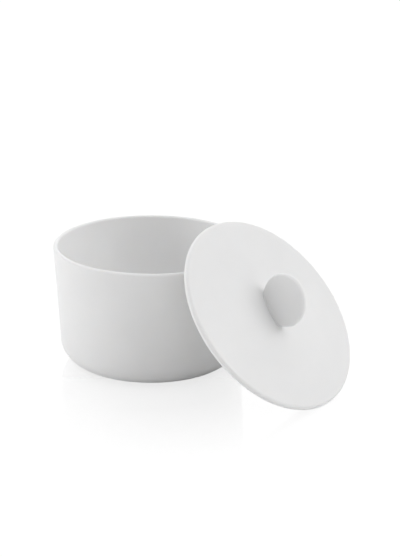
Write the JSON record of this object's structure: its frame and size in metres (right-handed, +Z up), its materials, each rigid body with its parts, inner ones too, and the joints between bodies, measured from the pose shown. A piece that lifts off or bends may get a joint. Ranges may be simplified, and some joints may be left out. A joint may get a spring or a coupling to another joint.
{
  "type": "porcelain crucible",
  "caption": "Straight-sided white porcelain bowl with a flat round-edged lid, which leans against its rim and has a pebble-shaped knob.",
  "frame": {"origin": "centre of the foot's underside, on the surface that the bowl stands on", "axes": "+Z up along the bowl's axis, +X towards the side where the lid leans against the rim"},
  "size_m": [0.1583, 0.1044, 0.0789],
  "materials": {
    "bowl_glaze": "white satin-matt glaze",
    "bare_foot": "bare ground porcelain, fine grain",
    "lid_glaze": "white satin-matt glaze",
    "bare_ring": "bare smooth porcelain",
    "knob_glaze": "white satin-matt glaze"
  },
  "bodies": {
    "bowl": {"bowl": "bowl_glaze", "foot": "bare_foot"},
    "lid": {"lid_plate": "lid_glaze", "locating_ring": "bare_ring", "knob": "knob_glaze"}
  },
  "joints": [
    {"name": "lid_lift", "type": "slide", "parent": "bowl", "child": "lid", "axis": [0.7478, 0, 0.6639], "range_m": [0, 0.12]}
  ]
}
